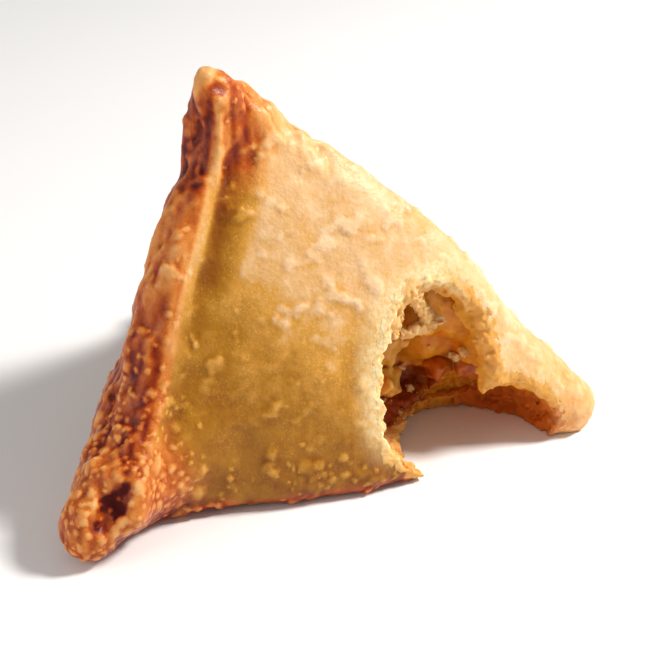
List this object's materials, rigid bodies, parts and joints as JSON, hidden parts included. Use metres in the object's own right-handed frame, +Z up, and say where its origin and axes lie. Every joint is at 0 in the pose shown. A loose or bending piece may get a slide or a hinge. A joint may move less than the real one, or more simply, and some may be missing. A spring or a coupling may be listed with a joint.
{
  "type": "samosa",
  "caption": "Plump deep-fried pastry pyramid with pinched corners and a rolled seam, bitten open near one foot to show its spiced potato filling.",
  "frame": {"origin": "on the surface it stands on, at the middle of the object's bounding box", "axes": "+X from the foot at the seam's lower end towards the foot beside the bite, +Y from the bitten side towards the foot at the back, +Z up towards the pinched peak"},
  "size_m": [0.1016, 0.077, 0.0741],
  "materials": {
    "crust": "golden fried dough, blistered, browner at the seam, the feet and the peak, with a thin shine of oil",
    "filling": "moist mashed potato, yellow with turmeric, with red-brown spiced pieces"
  },
  "bodies": {
    "root": {"crust": "crust", "filling": "filling"}
  },
  "joints": []
}
